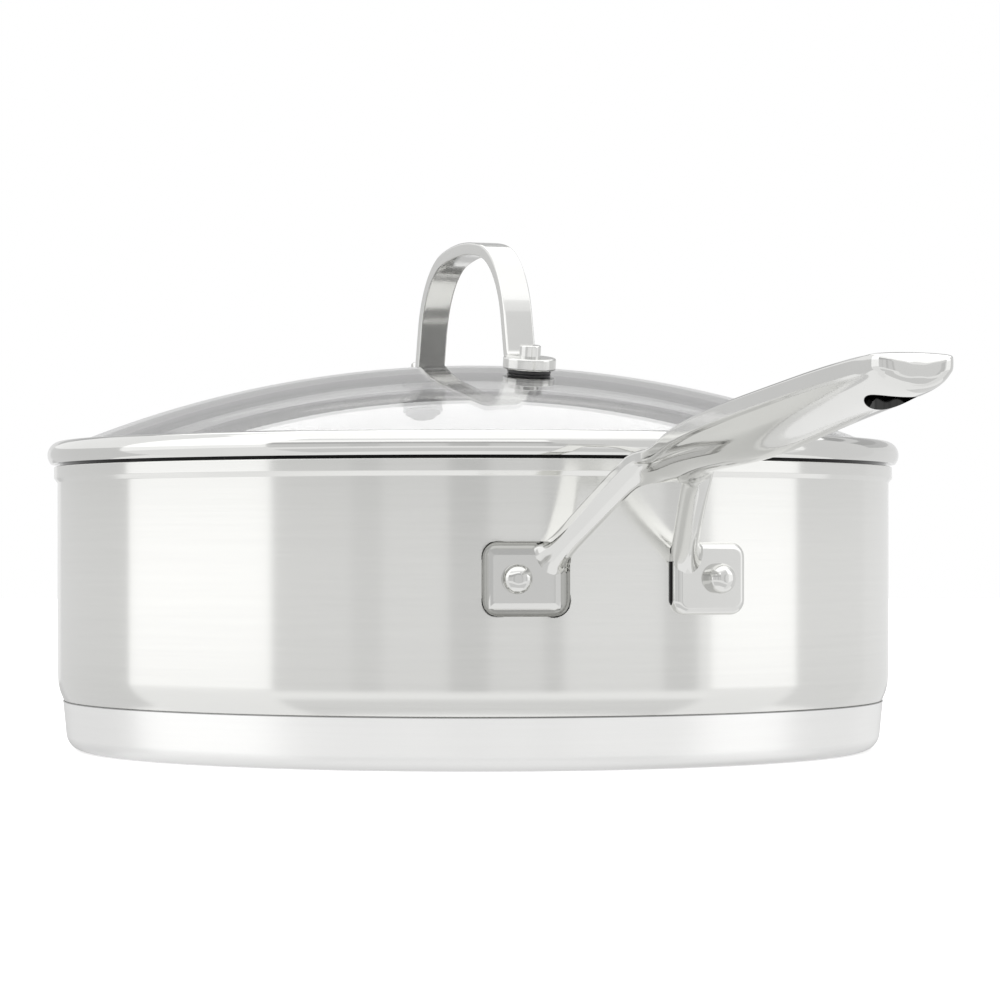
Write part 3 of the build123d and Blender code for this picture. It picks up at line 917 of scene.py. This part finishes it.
class PAN_OT_handle_rivets(bpy.types.Operator):
    """Model the two rivets of the long handle"""

    bl_idname = "pan.handle_rivets"
    bl_label = "Handle Rivets"

    def execute(self, context):
        s = context.scene.handle_sizes
        pan = context.scene.pan_sizes
        wall_radius = pan.band_radius - pan.band_step
        top = s.foot + s.head_height
        rivet = turned("handle_rivet", rounded([
            (0, top, 0),
            (s.head / 2, top, s.head_round),
            (s.head / 2, s.foot, 0),
            (s.rivet / 2, s.foot, 0),
            (s.rivet / 2, -pan.wall, 0),
            (s.inner_head / 2, -pan.wall, 0),
            (s.inner_head / 2, -pan.wall - s.inner_height, s.inner_round),
            (0, -pan.wall - s.inner_height, 0),
        ], steps=12), 96)
        smooth(rivet)
        for name, side in (("left", -1), ("right", 1)):
            node = "handle_rivet_" + name
            place = foot_place(s, side, wall_radius, side * s.set_out)
            piece = placed(copied(rivet, node + "_steel"), place)
            finish_piece(piece, finish_of("polished_steel", context), "pan", node)
        bpy.data.objects.remove(rivet)
        return {"FINISHED"}


# Grip stations: place along the grip, then the top's rise, the depth, the side and the half width
grip_shares = (
    (0.000, 0.00, 0.25, 0.35, 0.80),
    (0.125, 0.37, 0.62, 0.90, 0.98),
    (0.250, 0.55, 0.83, 1.00, 1.00),
    (0.375, 0.65, 0.94, 1.00, 1.00),
    (0.500, 0.74, 0.97, 1.00, 1.00),
    (0.625, 0.81, 0.88, 0.95, 1.00),
    (0.750, 0.89, 0.81, 0.93, 1.00),
    (0.875, 0.95, 0.75, 0.92, 1.00),
    (1.000, 1.00, 0.62, 0.88, 0.98),
)

# Arm stations: place along the arm, then the rise, the narrowing and the size
arm_shares = (
    (0.00, 0.00, 0.00, 0.95),
    (0.25, 0.31, 0.28, 0.97),
    (0.50, 0.61, 0.55, 1.00),
    (0.75, 0.87, 0.79, 1.00),
    (1.00, 1.00, 1.00, 0.95),
)

# Where the cage of the handle has its rings, along an arm and then along the grip
arm_ring_shares = (0.10, 0.17, 0.28, 0.40, 0.52, 0.62)
grip_ring_shares = (0.09, 0.16, 0.25, 0.36, 0.47, 0.58, 0.69, 0.80, 0.90, 0.97)

# The fork's ring: its place along the arm, and how far it's turned into the grip
fork_share = 0.74
fork_turn = 0.75

# How sharp the lines along the handle stay, by their place in a ring
line_creases = {2: 0.85, 3: 0.85, 4: 0.8, 5: 0.75}

# Outline of the grip's half section, as shares: across of the half width, down of the whole way down
top_shares = ((0.0, 1.0), (0.55, 0.7))
belly_shares = ((0.88, 0.38), (0.56, 0.84), (0.0, 1.045))


def between(stations, along):
    """The stations' values at a place along them, on a smooth curve through them."""
    last = len(stations) - 2
    index = max(i for i in range(last + 1) if stations[i][0] <= along or i == 0)
    step = stations[index + 1][0] - stations[index][0]
    t = (along - stations[index][0]) / step
    before = stations[max(index - 1, 0)]
    first, second = stations[index], stations[index + 1]
    after = stations[min(index + 2, last + 1)]
    values = []
    for a, b, c, d in zip(before[1:], first[1:], second[1:], after[1:]):
        slope_in, slope_out = (c - a) / 2, (d - b) / 2
        if index == 0:
            slope_in = c - b
        if index == last:
            slope_out = c - b
        values.append(b + slope_in * t + (3 * (c - b) - 2 * slope_in - slope_out) * t**2
                      + (slope_in + slope_out - 2 * (c - b)) * t**3)
    return values


def grip_ring(s, along, tip_reach):
    """Half of the grip's section, from the middle of its top round to the middle of its belly."""
    rise, depth, side, breadth = between(grip_shares, along)
    reach = s.hub_reach + along * (tip_reach - s.hub_reach)
    top = s.hub_height + rise * (s.tip_height - s.hub_height)
    half = breadth * s.half_width
    drop = side * s.side
    deep = depth * s.depth
    ring = [(reach, across * half, top + lift * s.crown) for across, lift in top_shares]
    ring.append((reach, half - s.top_edge / 2, top))
    ring.append((reach, half, top - s.top_edge / 2))
    ring.append((reach, half, top - drop))
    ring.append((reach, half - s.crease, top - drop - s.crease))
    belly = deep - drop - s.crease
    for across, down in belly_shares:
        ring.append((reach, across * (half - s.crease), top - drop - s.crease - down * belly))
    return [Vector(point) for point in ring]


def arm_spine(s, along):
    """Middle of an arm's top, and its size, at a place along it."""
    rise, narrowing, size = between(arm_shares, along)
    root, end = Vector(s.arm_root), Vector(s.arm_end)
    way = end - root
    return root + Vector((along * way.x, narrowing * way.y, rise * way.z)), size


def arm_ring(s, along, turn):
    """An arm's section, in the same order as the grip's half, with its inner side after it."""
    point, size = arm_spine(s, along)
    way = arm_spine(s, along + 0.02)[0] - arm_spine(s, along - 0.02)[0]
    way = way.normalized().lerp(Vector((1, 0, 0)), turn).normalized()
    across = Vector((-way.y, way.x, 0)).normalized()
    up = way.cross(across)
    half, deep, drop = size * s.arm_half_width, size * s.arm_depth, size * s.arm_side
    places = (
        (-0.80 * half, 0),
        (0, 0.3 * s.crown),
        (half - s.top_edge / 2, 0),
        (half, -s.top_edge / 2),
        (half, -drop),
        (half - 0.7 * s.crease, -drop - s.crease),
        (0.78 * half, -0.76 * deep),
        (0.10 * half, -1.04 * deep),
        (-0.70 * half, -0.86 * deep),
        (-1.03 * half, -0.52 * deep),
        (-1.05 * half, -0.14 * deep),
    )
    return [point + across * a + up * b for a, b in places]


def fork_ring(s):
    """The section where the arms join: its inner side lies on the handle's plane of symmetry."""
    ring = arm_ring(s, fork_share, fork_turn)
    reach, low, high = s.fork_reach, s.fork_low, s.fork_high
    ring[0] = Vector((reach + 0.0012, 0, high))
    ring[8] = Vector((reach + 0.0008, 0, low - 0.0010))
    ring[9] = Vector((reach, 0, low + 0.3 * (high - low)))
    ring[10] = Vector((reach, 0, low + 0.75 * (high - low)))
    return ring


def root_ring(s, wall_radius, spread, lift):
    """An arm's section laid on its foot's face or off it by a lift, spread outwards and down."""
    out = Vector((cos(s.angle), sin(s.angle), 0))
    aside = Vector((-out.y, out.x, 0))
    down = Vector((0, 0, -1))
    way = (arm_spine(s, 0.12)[0] - arm_spine(s, 0.0)[0]).normalized()
    face = wall_radius + s.foot + lift
    ring = []
    for index, point in enumerate(arm_ring(s, 0.06, 0)):
        on_face = point + way * (face - point.dot(out)) / way.dot(out)
        if 2 <= index <= 4:
            on_face += aside * spread
        if 5 <= index <= 7:
            on_face += (aside * (8 - index) / 3 + down * (index - 4) / 3) * spread
        if index == 8:
            on_face += down * spread
        ring.append(on_face)
    return ring


def grown(piece, ring, points):
    """Extrudes a ring of vertices, moves the new ones to their points and gives their numbers."""
    mesh = piece.data
    old = len(mesh.vertices)
    choose(mesh, ring)
    mode("EDIT")
    bpy.ops.mesh.select_mode(type="VERT")
    bpy.ops.mesh.extrude_edges_move()
    mode("OBJECT")
    twins = {mesh.vertices[n].co.copy().freeze(): n for n in range(old, len(mesh.vertices))}
    new = [twins[mesh.vertices[n].co.copy().freeze()] for n in ring]
    for number, point in zip(new, points):
        mesh.vertices[number].co = point
    return new


def crease(piece, chosen, value):
    """Creases the edges whose two ends are chosen, so that they stay sharp when subdivided."""
    mesh = piece.data
    layer = mesh.attributes.get("crease_edge") or mesh.attributes.new("crease_edge", "FLOAT", "EDGE")
    for edge in mesh.edges:
        if all(number in chosen for number in edge.vertices):
            layer.data[edge.index].value = value


class PAN_OT_long_handle(bpy.types.Operator):
    """Model the cast long handle: two arms on riveted feet, joined into one grip with a hanging hole"""

    bl_idname = "pan.long_handle"
    bl_label = "Long Handle"

    def execute(self, context):
        s = context.scene.handle_sizes
        pan = context.scene.pan_sizes
        wall_radius = pan.band_radius - pan.band_step
        tip_reach = handle_high.x
        piece = self.grip_and_arms(s, wall_radius, tip_reach)
        self.pierce(piece, s, tip_reach)
        feet = [self.foot(s, side, wall_radius) for side in (-1, 1)]
        joined(piece, feet)
        smooth(piece, radians(40))
        finish_piece(piece, finish_of("cast_steel", context), "pan", "long_handle")
        return {"FINISHED"}

    def grip_and_arms(self, s, wall_radius, tip_reach):
        """One side of the handle from ring to ring, mirrored and subdivided."""
        deselect()
        in_wall, in_foot, off_foot = -s.foot - 0.0003, -0.0004, 0.0006
        rings = [
            root_ring(s, wall_radius, s.flare, in_wall),
            root_ring(s, wall_radius, s.flare, in_foot),
            root_ring(s, wall_radius, 0.35 * s.flare, off_foot),
        ]
        rings += [arm_ring(s, along, max(0, along - 0.4)) for along in arm_ring_shares]
        rings.append(fork_ring(s))
        bpy.ops.mesh.primitive_circle_add(vertices=len(rings[0]), radius=1, location=(0, 0, 0))
        piece = bpy.context.object
        call(piece, "cast_handle")
        numbers = list(range(len(rings[0])))
        for number, point in zip(numbers, rings[0]):
            piece.data.vertices[number].co = point
        lines = [numbers]
        for ring in rings[1:]:
            numbers = grown(piece, numbers, ring)
            lines.append(numbers)
        half = numbers[:9]
        grip = [grip_ring(s, along, tip_reach) for along in grip_ring_shares]
        for ring in grip:
            half = grown(piece, half, ring)
            lines.append(half)
        half = self.rounded_end(piece, s, half, tip_reach)
        lines.append(half)
        for index, value in line_creases.items():
            crease(piece, {line[index] for line in lines[4:]}, value)
        modified(piece, "MIRROR", use_axis=(False, True, False), merge_threshold=1e-5)
        mode("EDIT")
        face_outwards()
        modified(piece, "SUBSURF", levels=3, render_levels=3)
        return piece

    def rounded_end(self, piece, s, half, tip_reach):
        """Closes the grip with a flat end, rounded all round."""
        last = grip_ring(s, 1.0, tip_reach)
        middle = Vector((tip_reach, 0, (last[0].z + last[-1].z) / 2))
        end = tip_reach + s.end_reach
        for out, in_set in ((s.end_round, 0.0), (0.3 * s.end_round, 0.3 * s.end_round), (0.0, s.end_round)):
            ring = []
            for point in last:
                inward = middle - point
                inward.x = 0
                moved = point + inward.normalized() * in_set
                moved.x = end - out
                if abs(point.y) < 1e-9:
                    moved.y = 0
                ring.append(moved)
            half = grown(piece, half, ring)
        ring = []
        for point in last:
            moved = point.lerp(middle, 0.92)
            moved.x = end
            ring.append(moved)
        half = grown(piece, half, ring)
        choose(piece.data, half)
        mode("EDIT")
        bpy.ops.mesh.edge_face_add()
        mode("OBJECT")
        return half

    def pierce(self, piece, s, tip_reach):
        """Cuts the hanging hole."""
        deselect()
        bpy.ops.mesh.primitive_cylinder_add(vertices=96, radius=0.5, depth=0.08,
                                            location=(tip_reach - s.hole_set_in, 0, s.tip_height))
        cutter = bpy.context.object
        cutter.scale = (s.hole_length, s.hole_width, 1)
        modified(piece, "BOOLEAN", operation="DIFFERENCE", solver="EXACT", object=cutter)
        bpy.data.objects.remove(cutter)

    def foot(self, s, side, wall_radius):
        """A plate with rounded corners and a broad rounding round its front."""
        deselect()
        thickness = s.foot + s.foot_sunk
        bpy.ops.mesh.primitive_cube_add(size=1, location=(0, 0, s.foot - thickness / 2),
                                        scale=(s.foot_height, s.foot_width, thickness))
        foot = bpy.context.object
        bpy.ops.object.transform_apply(location=True, rotation=True, scale=True)
        bevel_edges(foot, lambda a, b: abs(a.x - b.x) < 1e-6 and abs(a.y - b.y) < 1e-6, s.foot_corner, 10)
        bevel_edges(foot, lambda a, b: min(a.z, b.z) > s.foot - 1e-6, s.foot_round, 8)
        return placed(foot, foot_place(s, side, wall_radius, 0))


# Cards round the pan: start and end in degrees from the camera, counted anticlockwise from above,
# then the lowest and highest elevation in degrees, and the brightness
cards = {
    "front_card_1": (-54, -31, -11, 8, 0.73),
    "front_card_2": (-31, -23, -11, 8, 0.68),
    "front_card_3": (-23, -6, -11, 8, 0.75),
    "front_card_4": (-6, 4, -11, 8, 0.62),
    "front_card_5": (4, 18, -11, 8, 0.73),
    "front_card_6": (18, 23, -11, 8, 0.64),
    "front_card_7": (23, 50, -11, 8, 0.79),
    "front_card_8": (50, 60, -11, 8, 0.66),
    "front_card_9": (60, 64, -11, 8, 0.86),
    "front_card_floor": (-54, 64, -50, -23, 0.74),
    "front_card_low": (-54, 64, -23, -11, 0.97),
    "front_card_high_left": (-54, 20, 8, 20, 0.55),
    "front_card_high_right": (20, 64, 8, 20, 0.8),
    "front_card_top_left": (-54, 20, 20, 33, 1.3),
    "front_card_top_right": (20, 64, 20, 33, 0.8),
    "right_card_low": (64, 94, -60, -8, 0.92),
    "right_softbox": (64, 94, -8, 8, 1.14),
    "right_softbox_high": (64, 94, 8, 55, 1.45),
    "side_card": (94, 130, -30, 33, 0.77),
    "back_card_side": (130, 160, -60, 4, 0.8),
    "back_card_low": (160, 205, -18, -6, 0.6),
    "back_card_horizon": (160, 205, -6, 4, 0.84),
    "back_card_first": (130, 205, 4, 10.5, 0.78),
    "back_card_second": (130, 205, 10.5, 16.8, 0.58),
    "back_card_dark": (130, 205, 16.8, 23.5, 0.48),
    "back_card_light": (130, 205, 23.5, 27.6, 0.72),
    "back_card_high": (130, 205, 27.6, 33.3, 0.44),
    "back_softbox": (130, 205, 33.3, 55, 1.75),
    "far_card_low": (205, 257, -30, 8, 0.71),
    "far_card_high": (205, 257, 8, 55, 1.0),
    "left_card_low": (257, 307, -60, -8, 0.94),
    "left_softbox": (257, 307, -8, 8, 1.14),
    "left_softbox_high": (257, 307, 8, 55, 1.45),
}


def glow(name, brightness):
    """A stage material of plain brightness."""
    material, graph = new_material(name)
    graph.surface(graph.node("ShaderNodeEmission", {}, {"Strength": brightness}, "Emission"))
    return material


def hide_from_view(piece, name, brightness):
    """Leaves a card to light and reflections alone."""
    piece.data.materials.append(glow(name, brightness))
    piece.visible_camera = False
    piece.visible_shadow = False


def card(s, name, start, end, lowest, highest, brightness):
    """A curved upright card round the pan."""
    low, high = (s.middle + s.card_radius * tan(radians(angle)) for angle in (lowest, highest))
    first = s.bearing + radians(start)
    piece = started(name)
    draw_line([(s.card_radius * cos(first), s.card_radius * sin(first), level) for level in (low, high)])
    bpy.ops.mesh.spin(steps=24, angle=radians(start - end), center=(0, 0, 0), axis=(0, 0, 1))
    mode("OBJECT")
    hide_from_view(piece, name, brightness)


class PAN_OT_studio(bpy.types.Operator):
    """Set up the floor, the cards, the light and the camera"""

    bl_idname = "pan.studio"
    bl_label = "Studio"

    def execute(self, context):
        s = context.scene.studio
        context.scene.view_settings.view_transform = "Standard"
        self.world(s)
        self.floor(s)
        for name, values in cards.items():
            card(s, name, *values)
        self.top_softbox(s)
        self.camera(context, s)
        return {"FINISHED"}

    def world(self, s):
        """White to the camera and in reflections, softer for light."""
        world = bpy.data.worlds.new("studio_world")
        bpy.context.scene.world = world
        world.use_nodes = True
        graph = Graph(world.node_tree)
        camera = graph.node("ShaderNodeLightPath", {}, {}, "Is Camera Ray")
        glossy = Wire(graph, camera.socket.node.outputs["Is Glossy Ray"])
        strength = camera.highest(glossy) * (1 - s.ambient) + s.ambient
        graph.surface(graph.node("ShaderNodeBackground", {}, {"Strength": strength, "Color": (1, 1, 1, 1)}))

    def top_softbox(self, s):
        deselect()
        bpy.ops.mesh.primitive_circle_add(vertices=64, radius=s.overhead_radius, fill_type="NGON",
                                          location=(0, 0, s.overhead_height))
        bpy.ops.object.transform_apply(location=True, rotation=True, scale=True)
        piece = bpy.context.object
        piece.name = "top_softbox"
        hide_from_view(piece, "top_softbox", s.overhead)

    def floor(self, s):
        """White to the camera but for the pan's shadow, and out of sight in reflections."""
        deselect()
        bpy.ops.mesh.primitive_circle_add(vertices=96, radius=s.floor_radius, fill_type="NGON",
                                          location=(0, 0, 0))
        floor = bpy.context.object
        floor.name = "floor"
        floor.visible_glossy = False
        material, graph = new_material("pale_floor")
        diffuse = graph.node("ShaderNodeBsdfDiffuse", {}, {"Color": (0.9, 0.9, 0.9, 1)})
        lift = graph.node("ShaderNodeEmission", {}, {"Strength": s.floor_lift})
        camera = graph.node("ShaderNodeLightPath", {}, {}, "Is Camera Ray")
        both = graph.node("ShaderNodeAddShader", {}, {0: diffuse, 1: lift})
        graph.surface(graph.node("ShaderNodeMixShader", {}, {0: camera, 1: diffuse, 2: both}))
        floor.data.materials.append(material)

    def camera(self, context, s):
        data = bpy.data.cameras.new("camera")
        camera = bpy.data.objects.new("camera", data)
        context.scene.collection.objects.link(camera)
        data.lens = s.lens * 1000
        data.sensor_width = 36
        data.shift_x = s.shift_x
        data.shift_y = s.shift_y
        camera.location = (s.distance * cos(s.bearing), s.distance * sin(s.bearing), s.eye)
        camera.rotation_euler = (pi / 2, 0, s.bearing + pi / 2)
        context.scene.camera = camera


class PAN_PT_panel(bpy.types.Panel):
    """The steps of the pan, in order"""

    bl_idname = "PAN_PT_panel"
    bl_label = "Saute Pan with Lid"
    bl_space_type = "VIEW_3D"
    bl_region_type = "UI"
    bl_category = "Pan"

    def draw(self, context):
        for operator in operators:
            self.layout.operator(operator.bl_idname)


operators = (
    PAN_OT_vessel,
    PAN_OT_base_cup,
    PAN_OT_lid_rim,
    PAN_OT_lid_glass,
    PAN_OT_lid_fittings,
    PAN_OT_lid_strap,
    PAN_OT_handle_rivets,
    PAN_OT_long_handle,
    PAN_OT_studio,
)
groups = {
    "pan_sizes": PanSizes,
    "lid_sizes": LidSizes,
    "handle_sizes": HandleSizes,
    "pan_finishes": Finishes,
    "studio": StudioSettings,
}


def register():
    for group in groups.values():
        bpy.utils.register_class(group)
    for name, group in groups.items():
        setattr(bpy.types.Scene, name, PointerProperty(type=group))
    for operator in operators:
        bpy.utils.register_class(operator)
    bpy.utils.register_class(PAN_PT_panel)


def unregister():
    bpy.utils.unregister_class(PAN_PT_panel)
    for operator in reversed(operators):
        bpy.utils.unregister_class(operator)
    for name, group in groups.items():
        delattr(bpy.types.Scene, name)
        bpy.utils.unregister_class(group)


def main():
    """Makes every piece and the studio."""
    register()
    for operator in operators:
        category, name = operator.bl_idname.split(".")
        getattr(getattr(bpy.ops, category), name)()


if __name__ == "__main__":
    main()
